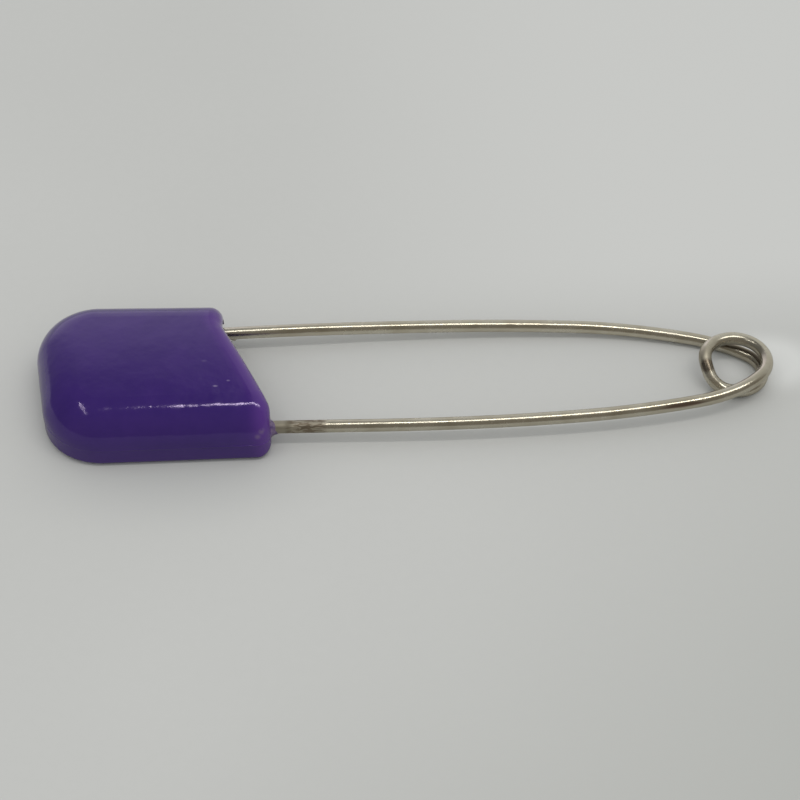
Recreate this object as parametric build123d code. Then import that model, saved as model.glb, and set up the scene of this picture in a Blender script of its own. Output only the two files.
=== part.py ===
from build123d import *

import math
import os

# A plastic-headed nappy pin, closed, lying on its flat back, in millimetres and degrees.
# A single spring wire is bent into the fixed arm, the coil and the pin arm. The head is moulded
# round the fixed arm's hooked end, and the pin arm's ground point swings in and out of its side.
# +X runs from the head's closed end to the coil, +Y points to the pin arm, and +Z out of the
# head's domed front. The origin is under the middle of the part, on the resting plane.

# Driving dimensions
overall_length = 54.9
head_width = 13.6
head_thickness = 4.72
head_long_side = 17.35
head_short_side = 13.9
wire_diameter = 0.95
coil_mean_diameter = 4.62
coil_side_shift = 0.17

# Head, outside
near_corner_radius = 4.5
far_corner_radius = 4.5
end_slant_angle = 8.4
far_side_taper_angle = 2.2
front_round_radius = 2.9
front_crown_radius = 40.0
back_round_radius = 0.5
mouth_round_radius = 1.0
mouth_near_flat = 2.1
mouth_far_flat = 3.15
mouth_near_knee_radius = 1.5
mouth_far_knee_radius = 2.5

# Head, inside: the pin arm's chamber, the window in the back and the slot in the side
side_wall = 0.75
front_wall = 1.1
end_wall = 2.2
chamber_corner_radius = 3.0
chamber_round_radius = 2.0
anchor_block_width = 3.3
lip_width = 2.35
window_corner_radius = 0.8
slot_clearance = 0.12
slot_end_inset = 2.5
anchor_fit_clearance = 0.02

# Wire inside the head
wire_height = 1.4
pin_side_inset = 1.67
fixed_side_inset = 1.93
anchor_reach = 11.5
anchor_bend_radius = 1.0
anchor_leg = 0.7
point_reach = 9.6
point_taper = 5.0
point_tip_diameter = 0.14

# Arms between the head and the coil, seen from the front
level_run = 1.2
pin_bow = 0.34
pin_bow_reach = 21.2
pin_neck_reach = 2.72
pin_neck_offset = 3.82
fixed_bow = 0.33
fixed_bow_reach = 20.2
fixed_neck_reach = 3.2
fixed_neck_offset = 3.78
fixed_neck_height = 1.6
pin_mouth_angle = 1.5
pin_neck_angle = 15.5
fixed_mouth_angle = 1.3
fixed_neck_angle = 10.5

# Coil: one turn and a quarter, its wide first turn carried clear over its narrower second
low_turn_diameter = 4.14
low_turn_forward_shift = 0.1
low_turn_side_shift = 0.21
turn_gap = 0.45
crest_lift = 0.05
fixed_root_angle = -45.0
pin_root_angle = 412.0
crest_angle = 153.0
landing_angle = 247.0
dive_slope_share = 1.5

# Modelling aids
quarter_turn = 90.0
half_turn = 180.0
cut_overrun = 3.0
edge_find_margin = 0.05
straight_limit_share = 1e-6
gap_sample_step_share = 0.005

wire_radius = wire_diameter / 2
coil_radius = coil_mean_diameter / 2
low_turn_radius = low_turn_diameter / 2
half_width = head_width / 2
head_end_x = -overall_length / 2
long_mouth_x = head_end_x + head_long_side
short_mouth_x = head_end_x + head_short_side
coil_x = overall_length / 2 - coil_radius - wire_radius
coil_y = -coil_side_shift
low_turn_z = wire_radius
high_turn_z = low_turn_z + wire_diameter + turn_gap
crest_z = high_turn_z + crest_lift


def heading(angle, slope=0.0):
    """Unit direction at an angle from +X seen from the front, climbing by slope along the way."""
    way = Vector(math.cos(math.radians(angle)), math.sin(math.radians(angle)), slope)
    return way.normalized()


def biarc(start, start_way, end, end_way):
    """Two tangent arcs, or one straight line, that leave start and reach end along the given ways."""
    chord = end - start
    if start_way.cross(chord.normalized()).length < straight_limit_share:
        if end_way.cross(start_way).length < straight_limit_share:
            return [Line(start, end)]
    along = chord.dot(start_way + end_way)
    spread = 2 * (1 - start_way.dot(end_way))
    reach = chord.dot(chord) / (along + math.sqrt(along**2 + spread * chord.dot(chord)))
    first_corner = start + start_way * reach
    last_corner = end - end_way * reach
    middle = (first_corner + last_corner) / 2
    return [
        TangentArc(start, middle, tangent=start_way),
        TangentArc(middle, end, tangent=last_corner - first_corner),
    ]


def wire_path(stations):
    """The wire's centre line through a list of (point, way) stations."""
    edges = []
    for (start, start_way), (end, end_way) in zip(stations, stations[1:]):
        edges += [curve.edge() for curve in biarc(start, start_way, end, end_way)]
    return Wire(edges)


def tube(stations, radius):
    """A round wire of the given radius along the stations."""
    start, way = stations[0]
    return sweep(Plane(origin=start, z_dir=way) * Circle(radius), path=wire_path(stations))


def turn_stations(centre, radius, start_angle, end_angle, start_z, end_z):
    """Stations at most a quarter turn apart that climb steadily from one height to the other."""
    turn = end_angle - start_angle
    slope = (end_z - start_z) / (radius * math.radians(turn))
    count = math.ceil(turn / quarter_turn)
    stations = []
    for index in range(count + 1):
        share = index / count
        angle = start_angle + turn * share
        height = Vector(0, 0, start_z + (end_z - start_z) * share)
        place = centre + heading(angle) * radius + height
        stations.append((place, heading(angle + quarter_turn, slope)))
    return stations


def coil_stations():
    """Up over the pin arm to the crest, down under the fixed arm, then level to the pin arm's root."""
    wide = Vector(coil_x, coil_y, 0)
    narrow = wide + Vector(low_turn_forward_shift, low_turn_side_shift, 0)
    climb = turn_stations(wide, coil_radius, fixed_root_angle, crest_angle, high_turn_z, crest_z)
    level = turn_stations(
        narrow, low_turn_radius, landing_angle, pin_root_angle, low_turn_z, low_turn_z
    )
    dive_angle = (crest_angle + landing_angle) / 2
    dive_radius = (coil_radius + low_turn_radius) / 2
    dive_centre = (wide + narrow) / 2 + Vector(0, 0, (crest_z + low_turn_z) / 2)
    dive_length = dive_radius * math.radians(landing_angle - crest_angle)
    dive_slope = dive_slope_share * (low_turn_z - crest_z) / dive_length
    dive = (
        dive_centre + heading(dive_angle) * dive_radius,
        heading(dive_angle + quarter_turn, dive_slope),
    )
    return climb + [dive] + level


def anchor_stations():
    """The fixed arm's hooked end, from its tip inside the head to just outside the mouth."""
    up = Vector(0, 0, 1)
    out = heading(-fixed_mouth_angle)
    mouth = Vector(long_mouth_x + level_run, fixed_side_inset - half_width, wire_height)
    bend_out = mouth - out * (anchor_reach + level_run)
    bend_in = bend_out + (up - out) * anchor_bend_radius
    return [(bend_in + up * anchor_leg, -up), (bend_in, -up), (bend_out, out), (mouth, out)]


def fixed_arm_stations():
    """From the hooked end in the head, out of the mouth, to the coil's upper turn."""
    anchor = anchor_stations()
    mouth = anchor[-1][0]
    bow_x = coil_x - fixed_bow_reach
    neck_x = coil_x - fixed_neck_reach
    rise = (fixed_neck_height - wire_height) / (neck_x - mouth.X)
    bow = Vector(bow_x, mouth.Y - fixed_bow, wire_height + rise * (bow_x - mouth.X))
    neck = Vector(neck_x, coil_y - fixed_neck_offset, fixed_neck_height)
    arm = [(bow, heading(0, rise)), (neck, heading(fixed_neck_angle, rise))]
    return anchor + arm + coil_stations()[:1]


def pin_arm_stations():
    """From the coil's lower turn to the start of the ground point inside the head."""
    mouth_y = half_width - pin_side_inset
    inward = heading(half_turn + pin_mouth_angle)
    mouth = Vector(short_mouth_x + level_run, mouth_y, wire_height)
    neck_x = coil_x - pin_neck_reach
    rise = (low_turn_z - wire_height) / (coil_x - mouth.X)
    bow_x = coil_x - pin_bow_reach
    neck = Vector(neck_x, coil_y + pin_neck_offset, wire_height + rise * (neck_x - mouth.X))
    bow = Vector(bow_x, mouth_y + pin_bow, wire_height + rise * (bow_x - mouth.X))
    return [
        coil_stations()[-1],
        (neck, heading(half_turn - pin_neck_angle, -rise)),
        (bow, heading(half_turn, -rise)),
        (mouth, inward),
        (mouth + inward * (level_run + point_reach - point_taper), inward),
    ]


def make_pin_arm():
    """The pin arm with its ground, tapered point."""
    stations = pin_arm_stations()
    shoulder, way = stations[-1]
    point = Plane(origin=shoulder, z_dir=way) * Cone(
        wire_radius,
        point_tip_diameter / 2,
        point_taper,
        align=(Align.CENTER, Align.CENTER, Align.MIN),
    )
    return (tube(stations, wire_radius) + point).solid()


def outline_corner(centre, radius, normal, next_normal):
    """Where the two straight sides that touch a corner's circle meet."""
    return centre + (normal + next_normal) * (radius / (1 + normal.dot(next_normal)))


def far_side():
    """The centre of the far corner's circle and the way that the tapered far side faces."""
    centre = Vector(head_end_x + far_corner_radius, half_width - far_corner_radius, 0)
    return centre, heading(quarter_turn - far_side_taper_angle)


def far_side_y(x):
    """The far side's place at a distance along the head."""
    centre, normal = far_side()
    return (normal.dot(centre) + far_corner_radius - normal.X * x) / normal.Y


def head_outline(end_x):
    """The head's plan shape, running straight past the mouth to end_x."""
    far_centre, far_normal = far_side()
    end_normal = heading(half_turn + end_slant_angle)
    far_corner = outline_corner(far_centre, far_corner_radius, far_normal, end_normal)
    end_way = end_normal.cross(Vector(0, 0, -1))
    near_corner = far_corner + end_way * ((-half_width - far_corner.Y) / end_way.Y)
    outline = Polyline(
        (near_corner.X, near_corner.Y),
        (end_x, -half_width),
        (end_x, far_side_y(end_x)),
        (far_corner.X, far_corner.Y),
        close=True,
    )
    plan = fillet(make_face(outline).vertices().sort_by_distance(near_corner)[0], near_corner_radius)
    return fillet(plan.vertices().sort_by_distance(far_corner)[0], far_corner_radius)


def mouth_cutter():
    """Everything beyond the slanted mouth, whose two knees are rounded."""
    near_y = -half_width + mouth_near_flat
    far_y = far_side_y(short_mouth_x) - mouth_far_flat
    rim = FilletPolyline(
        (long_mouth_x, -head_width),
        (long_mouth_x, near_y),
        (short_mouth_x, far_y),
        (short_mouth_x, head_width),
        radius=[mouth_near_knee_radius, mouth_far_knee_radius],
    )
    past_x = long_mouth_x + head_width
    rest = Polyline(
        (short_mouth_x, head_width),
        (past_x, head_width),
        (past_x, -head_width),
        (long_mouth_x, -head_width),
    )
    low = Location((0, 0, -cut_overrun))
    return extrude(low * make_face(rim + rest), head_thickness + 2 * cut_overrun)


def mouth_rim(body):
    """The outer edges of the mouth, left square by the cut."""
    least_x = short_mouth_x - mouth_round_radius
    edges = []
    for face in body.faces().filter_by(lambda face: face.center().X > least_x):
        for edge in face.edges():
            centre = edge.center()
            upright = abs(edge.tangent_at(0).Z) > 1 - straight_limit_share
            near_side = centre.Y < -half_width + edge_find_margin
            far_side = centre.Y > far_side_y(centre.X) - edge_find_margin
            if near_side or far_side or not upright:
                edges.append(edge)
    return edges


def front_crown(end_x):
    """Everything under the front's slight crown, from side to side."""
    start_x = head_end_x - cut_overrun
    axis = Plane(origin=(start_x, 0, head_thickness - front_crown_radius), z_dir=(1, 0, 0))
    return extrude(axis * Circle(front_crown_radius), end_x + cut_overrun - start_x)


def make_head():
    """The moulded head, hollow behind its domed front and solid round the fixed arm."""
    run_out_x = long_mouth_x + head_width
    body = extrude(head_outline(run_out_x), head_thickness) & front_crown(run_out_x)
    for index, radius in ((-1, front_round_radius), (0, back_round_radius)):
        flat = body.faces().sort_by(Axis.Z)[index]
        outer_edges = flat.edges().filter_by(lambda edge: edge.center().X < run_out_x - cut_overrun)
        body = fillet(outer_edges, radius)
    body -= mouth_cutter()
    body = fillet(mouth_rim(body), mouth_round_radius)
    body -= chamber(run_out_x)
    body -= window(run_out_x)
    body -= side_slot(run_out_x)
    body -= tube(anchor_stations(), wire_radius + anchor_fit_clearance)
    return body.solid()


def slot_floor():
    """The height of the lip that the pin arm lies over."""
    return wire_height - wire_radius - slot_clearance


def chamber(end_x):
    """The room behind the domed front where the pin's point lies and can be pressed inwards."""
    start_x = head_end_x + end_wall
    block_y = -half_width + anchor_block_width
    far_y = far_side_y(long_mouth_x) - side_wall
    plan = Location((start_x, block_y)) * Rectangle(
        end_x - start_x, far_y - block_y, align=(Align.MIN, Align.MIN)
    )
    far_corner = plan.vertices().sort_by(Axis.X)[:2].sort_by(Axis.Y)[-1]
    plan = fillet(far_corner, chamber_corner_radius)
    height = head_thickness - front_wall - slot_floor()
    room = extrude(Location((0, 0, slot_floor())) * plan, height)
    roof_edges = room.faces().sort_by(Axis.Z)[-1].edges().filter_by(
        lambda edge: edge.center().X < end_x - cut_overrun
    )
    return fillet(roof_edges, chamber_round_radius)


def window(end_x):
    """The opening in the flat back between the anchor block and the lip."""
    block_y = -half_width + anchor_block_width
    width = head_width - anchor_block_width - lip_width
    start_x = head_end_x + end_wall
    plan = Location((start_x, block_y)) * Rectangle(
        end_x - start_x, width, align=(Align.MIN, Align.MIN)
    )
    corners = plan.vertices().filter_by(lambda corner: corner.X < start_x + window_corner_radius)
    plan = fillet(corners, window_corner_radius)
    depth = cut_overrun + slot_floor() + slot_clearance
    return extrude(Location((0, 0, -cut_overrun)) * plan, depth)


def side_slot(end_x):
    """The slit in the side that the pin arm swings out through."""
    start_x = head_end_x + slot_end_inset
    height = wire_diameter + 2 * slot_clearance
    return Location((start_x, 0, slot_floor())) * Box(
        end_x - start_x,
        head_width,
        height,
        align=(Align.MIN, Align.MIN, Align.MIN),
    )


def print_coil_gap(path):
    """Measures how near the coil's turns come to each other and prints it."""
    count = round(1 / gap_sample_step_share)
    points = [path.position_at(index / count) for index in range(count + 1)]
    spacing = path.length / count
    skip = math.ceil(math.pi * coil_radius / spacing)
    nearest = min(
        (points[i] - points[j]).length
        for i in range(count + 1)
        for j in range(i + skip, count + 1)
    )
    print(f"least gap between the coil's turns: {nearest - wire_diameter:.3f} mm")


def main():
    """Makes the four pieces, writes each to its own file and returns them by name."""
    nodes = {
        "head": make_head(),
        "fixed_arm": tube(fixed_arm_stations(), wire_radius).solid(),
        "spring_coil": tube(coil_stations(), wire_radius).solid(),
        "pin_arm": make_pin_arm(),
    }
    print_coil_gap(wire_path(coil_stations()))
    os.makedirs("parts", exist_ok=True)
    for name, solid in nodes.items():
        export_step(solid, f"parts/{name}.step")
    return nodes


if __name__ == "__main__":
    main()
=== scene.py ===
import math

import bpy
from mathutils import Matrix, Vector, noise
from mathutils.bvhtree import BVHTree


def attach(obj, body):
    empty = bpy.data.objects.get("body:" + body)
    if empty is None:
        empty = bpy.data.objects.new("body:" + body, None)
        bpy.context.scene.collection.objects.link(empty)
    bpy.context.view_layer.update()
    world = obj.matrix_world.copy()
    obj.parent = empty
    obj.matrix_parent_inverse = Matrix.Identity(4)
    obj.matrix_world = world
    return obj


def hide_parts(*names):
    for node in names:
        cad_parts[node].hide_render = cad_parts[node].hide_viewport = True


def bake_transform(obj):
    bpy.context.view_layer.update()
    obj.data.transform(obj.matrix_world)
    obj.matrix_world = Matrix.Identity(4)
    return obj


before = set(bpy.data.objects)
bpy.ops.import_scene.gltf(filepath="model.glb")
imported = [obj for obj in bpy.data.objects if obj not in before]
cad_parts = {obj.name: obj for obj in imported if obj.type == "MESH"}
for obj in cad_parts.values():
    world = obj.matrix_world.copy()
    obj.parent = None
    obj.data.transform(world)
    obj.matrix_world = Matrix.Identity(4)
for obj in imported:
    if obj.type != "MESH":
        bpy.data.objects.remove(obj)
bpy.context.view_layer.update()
scene = bpy.context.scene

# Everything below is in metres in the part's own frame; MM turns millimetres into metres.
MM = 0.001
FULL_TURN = 2 * math.pi

# Sizes and places repeated from the part's source, in millimetres and degrees
WIRE_RADIUS = 0.475
COIL_RADIUS = 2.31
LOW_TURN_RADIUS = 2.07
COIL_CENTRE = Vector((24.665, -0.17, 0))
LOW_TURN_CENTRE = Vector((24.765, 0.04, 0))
LOW_TURN_Z = 0.475
HIGH_TURN_Z = 1.875
CREST_Z = 1.925
FIXED_ROOT_ANGLE, CREST_ANGLE = -45.0, 153.0
LANDING_ANGLE, PIN_ROOT_ANGLE = 247.0, 412.0
DIVE_SLOPE_SHARE = 1.5
LONG_MOUTH_X, SHORT_MOUTH_X = -10.1, -13.55
MOUTH_NEAR_Y, MOUTH_FAR_Y = -4.7, 3.3
FIXED_ENTRY = Vector((-10.1, -4.87, 1.4))
FIXED_MOUTH_ANGLE = -1.3
PARTING_HEIGHT = 1.6

# The photograph's camera, and its frame of 800 by 800 pixels
CAMERA_PLACE = Vector((-5.962, -108.75, 111.5)) * MM
CAMERA_TARGET = Vector((-0.515, -1.218, 0.0)) * MM
FRAME_PIXELS = 800
FOCAL_PIXELS = 2077
SENSOR_WIDTH = 36.0
TABLE_TURN = math.radians(-2.9)

# Worn stretches of the fixed arm along X, in millimetres
TOOL_MARKS_START, TOOL_MARKS_END = -8.9, -6.2
DULL_START, DULL_END = -10.6, -8.7

# Marks, painted shade and painted light on the wire, the head and the table: each one's centre and
# its reach along X, Y and Z
# a painted dark reflection: a brown band just under the fixed arm's highlight
BROWN_REFLECTION_BAND = ((20.6, -4.80, 1.86), (3.2, 0.9, 0.25))
# a painted dark reflection on the coil's dive
DIVE_DARK_REFLECTION = ((22.5, -0.5, 1.75), (0.85, 0.85, 0.8))
DULL_PLATING = ((22.35, 0.45, 2.1), (1.0, 1.1, 0.9))
LOW_SCRAPE = ((-11.02, -6.60, 2.38), (0.34, 0.5, 0.30))
HIGH_SCRAPE = ((-10.72, -6.45, 2.72), (0.36, 0.5, 0.34))
# nicks: small dents, which the head's material also paints paler as a painted highlight
NICK = ((-13.97, -3.55, 4.56), (0.26, 0.13, 0.3))
SMALL_NICK = ((-13.04, -3.08, 4.6), (0.19, 0.11, 0.3))
OLD_NICK = ((-14.80, -1.09, 4.66), (0.30, 0.16, 0.3))
HEAD_SHADE = ((-17.5, -8.2, 0.0), (15.0, 6.0, 5.0))
THROWN_LIGHT = ((27.2, 1.3, 0.0), (6.2, 4.6, 5.0))

# Colours that a noise runs through: its value, and the linear colour there
NICKELS = (
    (0.30, (0.55, 0.505, 0.40)),
    (0.50, (0.62, 0.580, 0.475)),
    (0.72, (0.68, 0.645, 0.545)),
)
VIOLETS = (
    (0.34, (0.0290, 0.0120, 0.115)),
    (0.50, (0.0330, 0.0139, 0.1245)),
    (0.66, (0.0375, 0.0157, 0.134)),
)
THIN_VIOLETS = ((0.32, (0.085, 0.050, 0.150)), (0.68, (0.190, 0.135, 0.230)))
TABLE_GREYS = ((0.30, (0.520, 0.5255, 0.511)), (0.70, (0.552, 0.557, 0.543)))

# The coil's steps in radians, and the angles in degrees between which its crossing lies
LINE_STEP = math.radians(2.5)
ANGLE_GAP = 2.0
CROSSING_START_ANGLE, CROSSING_END_ANGLE = 112, -98

# The parting line's fin and the rays that find it, in millimetres
RAY_START = 15.0
LONGEST_STEP = 1.6
CORNER_X, CORNER_Y = -11.6, -5.3
SIDE_STEP, SIDE_STEPS = 0.545, 21
CAP_X = -22.5
FIN_FADE_START, FIN_FADE_END = -15.0, -12.5
FIN_LOW, FIN_HIGH = 0.022, 0.060
FIN_ROOT, FIN_HALF_WIDTH, FIN_SIDES = 0.03, 0.10, 7

# The skirt of plastic round the fixed arm: places along the arm and radii, in millimetres
LIP_INSIDE = 0.470
LIP_PROFILE = (
    (-0.40, LIP_INSIDE), (-0.40, 0.78), (-0.02, 0.78), (0.03, 0.73), (0.09, 0.655),
    (0.18, 0.59), (0.30, 0.54), (0.44, 0.505), (0.53, 0.484), (0.54, LIP_INSIDE),
)

# The burr under the pin arm, in millimetres
BURR_CENTRE = Vector((-12.86, 4.93, 1.03))
BURR_SIZE = Vector((0.27, 0.17, 0.17))

# The table and the two lamps, in millimetres, and the lamps' power in watts
TABLE_RADIUS = 3000.0
TUBE_CENTRE, TUBE_LENGTH, TUBE_WIDTH = (179.5, -77.4, 600.0), 473.0, 31.0
TUBE_POWER = 0.74
PANEL_CENTRE, PANEL_LENGTH, PANEL_WIDTH = (-288.0, -75.0, 600.0), 15.0, 320.0
PANEL_POWER = 0.19
LAMP_COLOUR = (1.0, 0.98, 0.94)


# Shader building blocks

class Nodes:
    """A node tree that is built by calls."""

    def __init__(self, tree):
        self.tree = tree
        tree.nodes.clear()

    def add(self, kind, inputs=(), **settings):
        node = self.tree.nodes.new(kind)
        for name, value in settings.items():
            setattr(node, name, value)
        for key, value in dict(inputs).items():
            self.feed(node.inputs[key], value)
        return node

    def feed(self, socket, value):
        if isinstance(value, bpy.types.NodeSocket):
            self.tree.links.new(value, socket)
        elif value is not None:
            socket.default_value = value

    def math(self, operation, *values):
        node = self.tree.nodes.new("ShaderNodeMath")
        node.operation = operation
        for socket, value in zip(node.inputs, values):
            self.feed(socket, value)
        return node.outputs[0]

    def ramp(self, value, start, end, low=0.0, high=1.0):
        """A smooth step from low to high as value goes from start to end."""
        node = self.add("ShaderNodeMapRange", interpolation_type="SMOOTHSTEP")
        for socket, given in zip(node.inputs, (value, start, end, low, high)):
            self.feed(socket, given)
        return node.outputs["Result"]

    def colours(self, value, stops):
        node = self.add("ShaderNodeValToRGB", {"Fac": value})
        band = node.color_ramp
        while len(band.elements) < len(stops):
            band.elements.new(0.5)
        for element, (place, colour) in zip(band.elements, stops):
            element.position = place
            element.color = (*colour, 1.0)
        return node.outputs["Color"]

    def mix(self, share, first, second):
        node = self.add("ShaderNodeMix", data_type="RGBA")
        self.feed(node.inputs["Factor"], share)
        for name, given in (("A", first), ("B", second)):
            sockets = [s for s in node.inputs if s.name == name and s.type == "RGBA"]
            if isinstance(given, tuple):
                given = (*given, 1.0)
            self.feed(sockets[0], given)
        return [s for s in node.outputs if s.type == "RGBA"][0]

    def noise(self, place, scale, detail=2.0, roughness=0.5, distortion=0.0):
        values = {
            "Vector": place, "Scale": scale, "Detail": detail,
            "Roughness": roughness, "Distortion": distortion,
        }
        return self.add("ShaderNodeTexNoise", values).outputs["Fac"]

    def bump(self, height, distance, strength=1.0, normal=None):
        values = {"Height": height, "Distance": distance, "Strength": strength, "Normal": normal}
        return self.add("ShaderNodeBump", values).outputs["Normal"]

    def times(self, first, second):
        return self.math("MULTIPLY", first, second)

    def plus(self, first, second):
        return self.math("ADD", first, second)

    def hypotenuse(self, first, second):
        return self.math("SQRT", self.plus(self.times(first, first), self.times(second, second)))

    def smear(self, place, centre, reach):
        """1 at a point, falling smoothly to 0 at its own reach along each axis."""
        gap = self.add("ShaderNodeVectorMath", {0: place, 1: centre}, operation="SUBTRACT")
        scaled = self.add("ShaderNodeVectorMath", {0: gap.outputs[0], 1: reach}, operation="DIVIDE")
        length = self.add("ShaderNodeVectorMath", {0: scaled.outputs[0]}, operation="LENGTH")
        return self.ramp(length.outputs["Value"], 0.0, 1.0, 1.0, 0.0)

    def window(self, value, low, high, soft):
        """1 between low and high, with soft edges."""
        rise = self.ramp(value, low - soft, low + soft)
        return self.times(rise, self.ramp(value, high - soft, high + soft, 1.0, 0.0))


def object_place(tree, stretch=(1, 1, 1)):
    """The place on the part in millimetres, so that patterns run on from piece to piece."""
    place = tree.add("ShaderNodeTexCoord").outputs["Object"]
    scale = tuple(share / MM for share in stretch)
    return tree.add("ShaderNodeVectorMath", {0: place, 1: scale}, operation="MULTIPLY").outputs[0]


def parts_of(tree, place):
    node = tree.add("ShaderNodeSeparateXYZ", {0: place})
    return node.outputs[0], node.outputs[1], node.outputs[2]


def new_material(name):
    material = bpy.data.materials.new(name)
    material.use_nodes = True
    tree = Nodes(material.node_tree)
    shader = tree.add("ShaderNodeBsdfPrincipled")
    output = tree.add("ShaderNodeOutputMaterial")
    tree.tree.links.new(shader.outputs[0], output.inputs["Surface"])
    return material, tree, shader


# Materials

def turn_gap(tree, x, y, z, centre, radius, height):
    """Distance from the centre line of one turn of the coil, in millimetres."""
    east = tree.math("SUBTRACT", x, centre.x)
    north = tree.math("SUBTRACT", y, centre.y)
    side = tree.math("SUBTRACT", tree.hypotenuse(east, north), radius)
    rise = tree.math("SUBTRACT", z, height)
    return tree.hypotenuse(side, rise)


def crevice(tree, x, y, z):
    """1 where the coil's two turns almost touch, on the side of the pin arm: the mask for painted
    shade there.
    """
    near_upper = turn_gap(tree, x, y, z, COIL_CENTRE, COIL_RADIUS, CREST_Z)
    near_lower = turn_gap(tree, x, y, z, LOW_TURN_CENTRE, LOW_TURN_RADIUS, LOW_TURN_Z)
    under_upper = tree.times(tree.ramp(near_upper, 0.97, 1.06, 1.0, 0.0), tree.ramp(z, 1.3, 1.0))
    over_lower = tree.times(tree.ramp(near_lower, 1.05, 1.75, 1.0, 0.0), tree.ramp(z, 1.2, 1.4))
    return tree.times(tree.math("MAXIMUM", under_upper, over_lower), tree.ramp(y, -0.9, 0.6))


def nickel(name):
    """Warm nickel plating on drawn spring wire."""
    material, tree, shader = new_material(name)
    place = object_place(tree)
    x, y, z = parts_of(tree, place)
    blotch = tree.noise(place, 0.55, 3.0, 0.55)
    streak = tree.noise(object_place(tree, (0.22, 1, 1)), 7.0, 3.0, 0.6)
    grain = tree.noise(place, 16.0, 2.0, 0.6)
    pits = tree.noise(object_place(tree, (0.36, 1.3, 1.3)), 3.7, 2.0, 0.6, 0.6)

    # where each kind of wear, painted shade and painted reflection is, from 0 to 1
    fixed_arm_side = tree.ramp(y, 0.0, -2.0)
    marked = tree.times(tree.window(x, TOOL_MARKS_START, TOOL_MARKS_END, 0.35), fixed_arm_side)
    dulled = tree.times(tree.window(x, DULL_START, DULL_END, 0.25), fixed_arm_side)
    pitted = tree.times(marked, tree.math("SUBTRACT", 1.0, tree.ramp(pits, 0.45, 0.56)))
    # painted reflection: a dark brown band just under the fixed arm's highlight
    painted_brown_band = tree.ramp(tree.smear(place, *BROWN_REFLECTION_BAND), 0.0, 0.6)
    # painted reflection: a dark patch on the coil's dive
    painted_dive_reflection = tree.ramp(tree.smear(place, *DIVE_DARK_REFLECTION), 0.05, 0.55)
    dull_plating = tree.ramp(tree.smear(place, *DULL_PLATING), 0.05, 0.55)
    # painted shade where the coil's two turns almost touch
    crevice_shade = crevice(tree, x, y, z)

    colour = tree.colours(blotch, NICKELS)
    colour = tree.mix(tree.times(pitted, 0.85), colour, (0.20, 0.155, 0.11))
    colour = tree.mix(tree.times(marked, 0.35), colour, (0.30, 0.25, 0.19))
    colour = tree.mix(tree.times(painted_brown_band, 0.80), colour, (0.210, 0.130, 0.100))
    colour = tree.mix(tree.times(dulled, 0.55), colour, (0.37, 0.345, 0.26))
    colour = tree.mix(tree.times(painted_dive_reflection, 0.80), colour, (0.150, 0.115, 0.080))
    colour = tree.mix(tree.times(crevice_shade, 0.88), colour, (0.085, 0.062, 0.040))
    tree.feed(shader.inputs["Base Color"], colour)
    shader.inputs["Metallic"].default_value = 1.0

    rough = tree.ramp(tree.plus(blotch, tree.times(streak, 0.5)), 0.45, 1.05, 0.19, 0.30)
    for wear, rise in ((dulled, 0.36), (marked, 0.28), (crevice_shade, 0.20), (dull_plating, 0.28)):
        rough = tree.plus(rough, tree.times(wear, rise))
    tree.feed(shader.inputs["Roughness"], rough)

    fine = tree.plus(tree.times(streak, 0.7), tree.times(grain, 0.3))
    normal = tree.bump(fine, 0.010 * MM, 0.5)
    normal = tree.bump(tree.times(marked, pits), 0.09 * MM, 0.8, normal)
    tree.feed(shader.inputs["Normal"], normal)
    return material


def mouth_band(tree, x, y, width):
    """1 at the head's slanted mouth, falling to 0 at a distance inside it."""
    slant = tree.add("ShaderNodeMapRange")
    given = (y, MOUTH_NEAR_Y, MOUTH_FAR_Y, LONG_MOUTH_X, SHORT_MOUTH_X)
    for socket, value in zip(slant.inputs, given):
        tree.feed(socket, value)
    inside = tree.math("SUBTRACT", slant.outputs["Result"], x)
    return tree.ramp(inside, 0.0, width, 1.0, 0.0)


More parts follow.
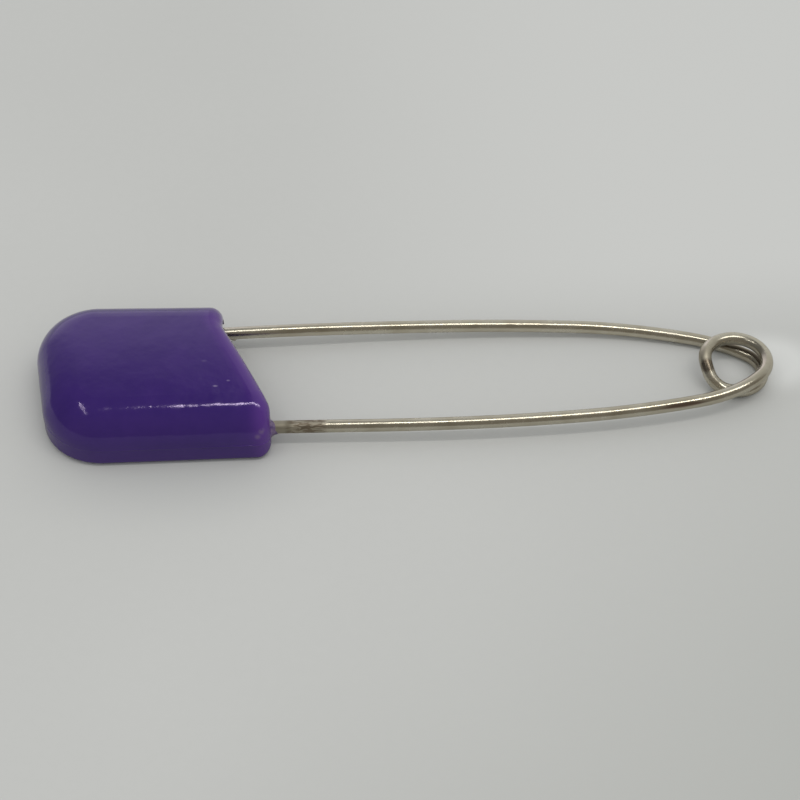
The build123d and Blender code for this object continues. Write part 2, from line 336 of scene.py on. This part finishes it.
def purple(name):
    """Glossy moulded violet plastic, with painted light that makes it paler at its thin mouth and
    low on its wall.
    """
    material, tree, shader = new_material(name)
    place = object_place(tree)
    x, y, z = parts_of(tree, place)
    swirl = tree.noise(place, 0.16, 4.0, 0.55, 0.8)
    cloud = tree.noise(place, 0.75, 3.0, 0.5)
    colour = tree.colours(tree.plus(tree.times(swirl, 0.6), tree.times(cloud, 0.4)), VIOLETS)

    # painted light: the plastic is painted paler where light comes through the thin mouth and its
    # rim, and up through the wall from the pale table
    glow = mouth_band(tree, x, y, 3.4)
    colour = tree.mix(tree.times(glow, 0.55), colour, (0.047, 0.0155, 0.152))
    painted_rim_light = tree.times(mouth_band(tree, x, y, 1.8), tree.ramp(y, 6.2, 3.0, 0.25, 1.0))
    colour = tree.mix(tree.times(painted_rim_light, 0.70), colour, (0.108, 0.040, 0.245))
    painted_foot_light = tree.ramp(z, 2.2, 0.4)
    colour = tree.mix(tree.times(painted_foot_light, 0.35), colour, (0.058, 0.028, 0.150))

    worn = tree.math("MAXIMUM", tree.smear(place, *LOW_SCRAPE), tree.smear(place, *HIGH_SCRAPE))
    patchy = tree.times(worn, tree.ramp(tree.noise(place, 2.6, 3.0, 0.6), 0.24, 0.50))
    colour = tree.mix(tree.times(patchy, 0.65), colour, (0.15, 0.105, 0.19))
    nicks_and_glints = tree.plus(tree.smear(place, *NICK), tree.times(tree.smear(place, *SMALL_NICK), 0.7))
    nicks_and_glints = tree.plus(nicks_and_glints, tree.times(tree.smear(place, *OLD_NICK), 0.25))
    # the nicks are dented by the bump below, and painted paler as a painted highlight
    colour = tree.mix(tree.times(nicks_and_glints, 0.80), colour, (0.21, 0.165, 0.29))
    tree.feed(shader.inputs["Base Color"], colour)
    shader.inputs["IOR"].default_value = 1.5
    shader.inputs["Specular IOR Level"].default_value = 0.6
    shader.inputs["Specular Tint"].default_value = (0.86, 0.72, 1.0, 1.0)

    rough = tree.ramp(tree.noise(place, 2.2, 4.0, 0.6), 0.35, 0.70, 0.08, 0.14)
    tree.feed(shader.inputs["Roughness"], tree.plus(rough, tree.times(worn, 0.15)))

    wave = tree.noise(place, 0.45, 2.0, 0.45)
    ripple = tree.noise(place, 1.5, 2.0, 0.5)
    normal = tree.bump(tree.plus(tree.times(wave, 0.8), tree.times(ripple, 0.2)), 0.10 * MM, 0.5)
    normal = tree.bump(tree.noise(place, 4.6, 2.0, 0.5), 0.005 * MM, 0.5, normal)
    normal = tree.bump(nicks_and_glints, 0.03 * MM, 0.8, normal)
    tree.feed(shader.inputs["Normal"], normal)
    return material


def thin_skin(name):
    """The same violet plastic where it is thin enough to let light through, painted paler as
    painted light.
    """
    material, tree, shader = new_material(name)
    place = object_place(tree)
    cloud = tree.noise(place, 2.5, 3.0, 0.55)
    tree.feed(shader.inputs["Base Color"], tree.colours(cloud, THIN_VIOLETS))
    tree.feed(shader.inputs["Roughness"], tree.ramp(cloud, 0.3, 0.7, 0.25, 0.42))
    tree.feed(shader.inputs["Normal"], tree.bump(tree.noise(place, 6.0), 0.02 * MM, 0.6))
    return material


def table_top(name):
    """A pale matt table with the faintest unevenness, a painted shadow beside the head and painted
    light round the coil.
    """
    material, tree, shader = new_material(name)
    place = object_place(tree)
    x, y, _ = parts_of(tree, place)
    cloud = tree.noise(place, 0.018, 3.0, 0.5)
    speck = tree.noise(place, 1.3, 2.0, 0.5)
    tone = tree.plus(tree.times(cloud, 0.85), tree.times(speck, 0.15))
    colour = tree.colours(tone, TABLE_GREYS)
    corner = tree.ramp(tree.math("SUBTRACT", x, y), 5.0, 75.0)
    colour = tree.mix(tree.times(corner, 0.9), colour, (0.440, 0.448, 0.428))
    lit = tree.times(tree.ramp(x, -18.0, 22.0), tree.ramp(y, 3.0, 14.0))
    colour = tree.mix(lit, colour, (0.583, 0.589, 0.575))
    shade = tree.smear(place, *HEAD_SHADE)
    colour = tree.mix(tree.times(shade, 0.9), colour, (0.485, 0.492, 0.483))
    # the shiny coil throws a little light back on the table inside it and beside it
    thrown = tree.ramp(tree.smear(place, *THROWN_LIGHT), 0.0, 0.7)
    colour = tree.mix(tree.times(thrown, 0.9), colour, (0.655, 0.665, 0.650))
    # the wire and the head reflect a plainer and darker table than the camera sees
    rays = tree.add("ShaderNodeLightPath")
    unseen = tree.mix(tree.ramp(y, -3.0, 9.0), (0.405, 0.405, 0.385), (0.535, 0.535, 0.52))
    colour = tree.mix(rays.outputs["Is Camera Ray"], unseen, colour)
    tree.feed(shader.inputs["Base Color"], colour)
    shader.inputs["Roughness"].default_value = 0.85
    shader.inputs["Specular IOR Level"].default_value = 0.15
    tree.feed(shader.inputs["Normal"], tree.bump(speck, 0.02 * MM, 0.2))
    return material


# Mesh building blocks

def new_mesh(name, points, faces, material, smooth=True):
    mesh = bpy.data.meshes.new(name)
    mesh.from_pydata([tuple(Vector(p) * MM) for p in points], [], faces)
    mesh.update()
    mesh.polygons.foreach_set("use_smooth", [smooth] * len(mesh.polygons))
    mesh.materials.append(material)
    piece = bpy.data.objects.new(name, mesh)
    scene.collection.objects.link(piece)
    return piece


def heading(angle, slope=0.0):
    """Unit direction at an angle from +X seen from the front, climbing by slope along the way."""
    way = Vector((math.cos(math.radians(angle)), math.sin(math.radians(angle)), slope))
    return way.normalized()


def arc_points(start, way, end, step):
    """Points and ways along the arc that leaves start along way and reaches end."""
    chord = end - start
    across = chord - way * chord.dot(way)
    if across.length < 1e-9:
        return [(start, way), (end, way)]
    across.normalize()
    radius = chord.length_squared / (2 * chord.dot(across))
    centre = start + across * radius
    angle = 2 * math.atan2(chord.dot(across), chord.dot(way))
    count = max(1, math.ceil(abs(angle) / step))
    found = []
    for index in range(count + 1):
        turn = angle * index / count
        out = way * math.sin(turn) - across * math.cos(turn)
        found.append((centre + out * radius, way * math.cos(turn) + across * math.sin(turn)))
    return found


def biarc_points(first, last, step):
    """Points and ways along the two arcs between two stations."""
    (start, start_way), (end, end_way) = first, last
    chord = end - start
    along = chord.dot(start_way + end_way)
    spread = 2 * (1 - start_way.dot(end_way))
    reach = chord.dot(chord) / (along + math.sqrt(along**2 + spread * chord.dot(chord)))
    first_corner = start + start_way * reach
    last_corner = end - end_way * reach
    middle = (first_corner + last_corner) / 2
    middle_way = (last_corner - first_corner).normalized()
    first_arc = arc_points(start, start_way, middle, step)
    return first_arc[:-1] + arc_points(middle, middle_way, end, step)


def turn_stations(centre, radius, start_angle, end_angle, start_z, end_z):
    turn = end_angle - start_angle
    slope = (end_z - start_z) / (radius * math.radians(turn))
    count = math.ceil(turn / 90.0)
    stations = []
    for index in range(count + 1):
        share = index / count
        angle = start_angle + turn * share
        height = Vector((0, 0, start_z + (end_z - start_z) * share))
        stations.append((centre + heading(angle) * radius + height, heading(angle + 90.0, slope)))
    return stations


def coil_line(step):
    """The wire's centre line from the fixed arm's root to the pin arm's root."""
    climb = turn_stations(
        COIL_CENTRE, COIL_RADIUS, FIXED_ROOT_ANGLE, CREST_ANGLE, HIGH_TURN_Z, CREST_Z
    )
    level = turn_stations(
        LOW_TURN_CENTRE, LOW_TURN_RADIUS, LANDING_ANGLE, PIN_ROOT_ANGLE, LOW_TURN_Z, LOW_TURN_Z
    )
    dive_angle = (CREST_ANGLE + LANDING_ANGLE) / 2
    dive_radius = (COIL_RADIUS + LOW_TURN_RADIUS) / 2
    dive_length = dive_radius * math.radians(LANDING_ANGLE - CREST_ANGLE)
    middle = (COIL_CENTRE + LOW_TURN_CENTRE) / 2 + Vector((0, 0, (CREST_Z + LOW_TURN_Z) / 2))
    dive = (
        middle + heading(dive_angle) * dive_radius,
        heading(dive_angle + 90.0, DIVE_SLOPE_SHARE * (LOW_TURN_Z - CREST_Z) / dive_length),
    )
    stations = climb + [dive] + level
    line = []
    for first, last in zip(stations, stations[1:]):
        line += biarc_points(first, last, step)[:-1]
    return line + [stations[-1]]


def wire_piece(name, line, material, sides=40):
    """A round wire along (point, way) pairs, closed by flat ends that its neighbours cover."""
    points, normals, faces = [], [], []
    out = Vector((0, 0, 1))
    for place, way in line:
        out = (out - way * out.dot(way)).normalized()
        side = way.cross(out)
        for index in range(sides):
            turn = FULL_TURN * index / sides
            normal = out * math.cos(turn) + side * math.sin(turn)
            points.append(place + normal * WIRE_RADIUS)
            normals.append(normal)
    for ring in range(len(line) - 1):
        for index in range(sides):
            a, b = ring * sides + index, ring * sides + (index + 1) % sides
            faces.append((a, b, b + sides, a + sides))
    last = (len(line) - 1) * sides
    faces.append(tuple(range(sides))[::-1])
    faces.append(tuple(range(last, last + sides)))
    piece = new_mesh(name, points, faces, material)
    mesh = piece.data
    for cap in mesh.polygons[-2:]:
        cap.use_smooth = False
    loop_normals = []
    for polygon in mesh.polygons:
        for loop in polygon.loop_indices:
            vertex = mesh.loops[loop].vertex_index
            loop_normals.append(normals[vertex] if polygon.use_smooth else polygon.normal.copy())
    mesh.normals_split_custom_set(loop_normals)
    return piece


# The CAD nodes' materials, and the coil's three pieces

metal = nickel("nickel_plated_wire")
plastic = purple("violet_plastic")
thin_plastic = thin_skin("thin_violet_plastic")
for node, material in (("head", plastic), ("fixed_arm", metal), ("pin_arm", metal)):
    for material_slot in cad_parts[node].material_slots:
        material_slot.material = material

line = coil_line(LINE_STEP)


def first_past(angle, after=0):
    """Where the line passes an angle round the coil, at or after an index."""
    for index in range(after, len(line)):
        place = line[index][0] - COIL_CENTRE
        seen = math.degrees(math.atan2(place.y, place.x))
        if abs((seen - angle + 180) % 360 - 180) < ANGLE_GAP:
            return index
    raise ValueError("the coil doesn't pass that angle")


crossing_start = first_past(CROSSING_START_ANGLE)
crossing_end = first_past(CROSSING_END_ANGLE, crossing_start)
upper = wire_piece("coil_upper_turn", line[:crossing_start + 1], metal)
crossing = wire_piece("coil_crossing", line[crossing_start:crossing_end + 1], metal)
lower = wire_piece("coil_lower_turn", line[crossing_end:], metal)
for piece in (upper, crossing, lower):
    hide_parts("spring_coil")
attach(upper, "frame")
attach(lower, "pin")
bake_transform(crossing)


def heading_ray(tree_of_faces, centre, angle):
    """Where a level ray from outside meets the head on its way to a point inside it."""
    start = Vector(centre) + heading(angle) * RAY_START
    place, normal, _, _ = tree_of_faces.ray_cast(start * MM, -heading(angle))
    return place / MM, normal


def parting_places():
    """Places and outward normals along the head's parting line, from its mouth to its slot."""
    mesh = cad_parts["head"].data
    corners = [vertex.co for vertex in mesh.vertices]
    head_faces = BVHTree.FromPolygons(corners, [polygon.vertices[:] for polygon in mesh.polygons])
    rays = [((CORNER_X, CORNER_Y, PARTING_HEIGHT), angle) for angle in range(325, 270, -5)]
    for step in range(SIDE_STEPS):
        rays.append(((CORNER_X - SIDE_STEP * step, CORNER_Y, PARTING_HEIGHT), 270))
    rays += [((CAP_X, 0.0, PARTING_HEIGHT), angle) for angle in range(266, 92, -4)]
    found = []
    for centre, angle in rays:
        place, normal = heading_ray(head_faces, centre, angle)
        if found and (place - found[-1][0]).length > LONGEST_STEP:
            break
        found.append((place, normal))
    return found


def parting_fin(name, material):
    """The faint ridge where the mould's halves met, highest beside the mouth."""
    places = parting_places()
    points, faces = [], []
    up = Vector((0, 0, 1))
    for place, normal in places:
        share = max(0.0, min(1.0, (place.x - FIN_FADE_START) / (FIN_FADE_END - FIN_FADE_START)))
        uneven = 0.8 + 0.4 * noise.noise(place * 0.9)
        height = (FIN_LOW + (FIN_HIGH - FIN_LOW) * share) * uneven
        for index in range(FIN_SIDES):
            turn = math.pi * index / (FIN_SIDES - 1)
            out = (height + FIN_ROOT) * math.sin(turn) - FIN_ROOT
            points.append(place + normal * out + up * FIN_HALF_WIDTH * math.cos(turn))
    for ring in range(len(places) - 1):
        for index in range(FIN_SIDES):
            a, b = ring * FIN_SIDES + index, ring * FIN_SIDES + (index + 1) % FIN_SIDES
            faces.append((a, a + FIN_SIDES, b + FIN_SIDES, b))
    last = (len(places) - 1) * FIN_SIDES
    faces.append(tuple(range(FIN_SIDES)))
    faces.append(tuple(range(last, last + FIN_SIDES))[::-1])
    return new_mesh(name, points, faces, material)


def entry_lip(name, material, sides=48):
    """The ragged skirt of plastic that was squeezed out round the fixed arm."""
    along = heading(FIXED_MOUTH_ANGLE)
    side = Vector((0, 0, 1)).cross(along)
    points, faces = [], []
    for index in range(sides):
        turn = FULL_TURN * index / sides
        out = Vector((0, 0, 1)) * math.cos(turn) + side * math.sin(turn)
        low = 0.5 - 0.5 * math.cos(turn - math.radians(25))
        ragged = 0.45 + 0.5 * low + 0.16 * noise.noise(out * 1.6)
        for reach, radius in LIP_PROFILE:
            proud = max(0.0, radius - LIP_INSIDE) * (1.0 if reach < -0.1 else ragged)
            stretch = reach * ragged if reach > 0 else reach
            points.append(FIXED_ENTRY + along * stretch + out * (LIP_INSIDE + proud))
    count = len(LIP_PROFILE)
    for ring in range(sides):
        for index in range(count):
            after, following = (index + 1) % count, (ring + 1) % sides
            a, b = ring * count + index, ring * count + after
            c, d = following * count + index, following * count + after
            faces.append((a, b, d, c))
    return new_mesh(name, points, faces, material)


def burr(name, centre, size, material):
    """A small lumpy nub of metal left on the pin arm."""
    rings, sides = 10, 16
    points = [centre + Vector((0, 0, size.z))]
    for ring in range(1, rings):
        tilt = math.pi * ring / rings
        for index in range(sides):
            turn = FULL_TURN * index / sides
            level = math.sin(tilt)
            way = Vector((level * math.cos(turn), level * math.sin(turn), math.cos(tilt)))
            lump = 1.0 + 0.35 * noise.noise(way * 1.7)
            points.append(centre + Vector(w * s for w, s in zip(way, size)) * lump)
    points.append(centre - Vector((0, 0, size.z)))
    faces = [(0, 1 + i, 1 + (i + 1) % sides) for i in range(sides)]
    for ring in range(rings - 2):
        for i in range(sides):
            a, b = 1 + ring * sides + i, 1 + ring * sides + (i + 1) % sides
            faces.append((a, a + sides, b + sides, b))
    low = 1 + (rings - 2) * sides
    faces += [(low + i, len(points) - 1, low + (i + 1) % sides) for i in range(sides)]
    return new_mesh(name, points, faces, material)


fin = parting_fin("parting_line_fin", plastic)
lip = entry_lip("wire_entry_lip", thin_plastic)
for piece in (fin, lip):
    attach(piece, "frame")
nub = burr("pin_arm_burr", BURR_CENTRE, BURR_SIZE, metal)
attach(nub, "pin")


# Stage, light and camera

def disc(name, radius, material):
    """A flat round floor of a few rings."""
    sides, rings = 96, (0.02, 0.1, 0.3, 1.0)
    points = [(0, 0, 0)]
    for share in rings:
        for index in range(sides):
            turn = FULL_TURN * index / sides
            points.append((radius * share * math.cos(turn), radius * share * math.sin(turn), 0))
    faces = [(0, 1 + i, 1 + (i + 1) % sides) for i in range(sides)]
    for ring in range(len(rings) - 1):
        for i in range(sides):
            a, b = 1 + ring * sides + i, 1 + ring * sides + (i + 1) % sides
            faces.append((a, a + sides, b + sides, b))
    return new_mesh(name, points, faces, material, smooth=False)


floor = disc("table", TABLE_RADIUS, table_top("pale_table"))


def studio_world():
    """A plain pale surrounding for light, and a room with a dim end for reflections."""
    world = bpy.data.worlds.new("studio")
    scene.world = world
    world.use_nodes = True
    tree = Nodes(world.node_tree)
    way = tree.add("ShaderNodeTexCoord").outputs["Generated"]
    x, y, _ = parts_of(tree, way)
    # what metal and plastic show: a pale room at the back, dim where the photographer stands
    room = tree.mix(tree.ramp(y, -0.34, 0.06), (0.205, 0.19, 0.165), (0.43, 0.43, 0.415))
    room = tree.mix(tree.ramp(y, 0.1, 0.9), room, (0.60, 0.605, 0.59))
    # the room's left end is dim overhead and bright low down at the back
    left_end = tree.mix(tree.ramp(y, -0.7, -0.3), (0.19, 0.175, 0.155), (0.14, 0.14, 0.135))
    left_end = tree.mix(tree.ramp(y, 0.50, 0.90), left_end, (0.90, 0.865, 0.94))
    room = tree.mix(tree.ramp(x, -0.07, 0.02), left_end, room)
    rays = tree.add("ShaderNodeLightPath")
    seen = tree.math("MAXIMUM", rays.outputs["Is Camera Ray"], rays.outputs["Is Transmission Ray"])
    plain = tree.mix(seen, (0.795, 0.80, 0.80), (0.53, 0.54, 0.525))
    colour = tree.mix(rays.outputs["Is Glossy Ray"], plain, room)
    background = tree.add("ShaderNodeBackground", {"Color": colour, "Strength": 1.0})
    output = tree.add("ShaderNodeOutputWorld")
    tree.tree.links.new(background.outputs[0], output.inputs["Surface"])
    world.cycles.sampling_method = "NONE"


def strip_lamp(name, centre, length, width, power):
    """A long narrow lamp overhead, shining straight down."""
    lamp = bpy.data.lights.new(name, "AREA")
    lamp.shape = "RECTANGLE"
    lamp.size = length * MM
    lamp.size_y = width * MM
    lamp.energy = power
    lamp.color = LAMP_COLOUR
    piece = bpy.data.objects.new(name, lamp)
    piece.location = Vector(centre) * MM
    piece.rotation_euler = (0, 0, TABLE_TURN)
    scene.collection.objects.link(piece)


studio_world()
strip_lamp("ceiling_tube", TUBE_CENTRE, TUBE_LENGTH, TUBE_WIDTH, TUBE_POWER)
strip_lamp("side_panel", PANEL_CENTRE, PANEL_LENGTH, PANEL_WIDTH, PANEL_POWER)

camera = bpy.data.objects.new("photo_camera", bpy.data.cameras.new("photo_camera"))
scene.collection.objects.link(camera)
camera.location = CAMERA_PLACE
camera.rotation_mode = "QUATERNION"
camera.rotation_quaternion = (CAMERA_TARGET - CAMERA_PLACE).to_track_quat("-Z", "Y")
camera.data.sensor_width = SENSOR_WIDTH
camera.data.lens = SENSOR_WIDTH * FOCAL_PIXELS / FRAME_PIXELS
camera.data.clip_start = 0.01
camera.data.clip_end = 10.0
scene.camera = camera
scene.view_settings.view_transform = "Standard"
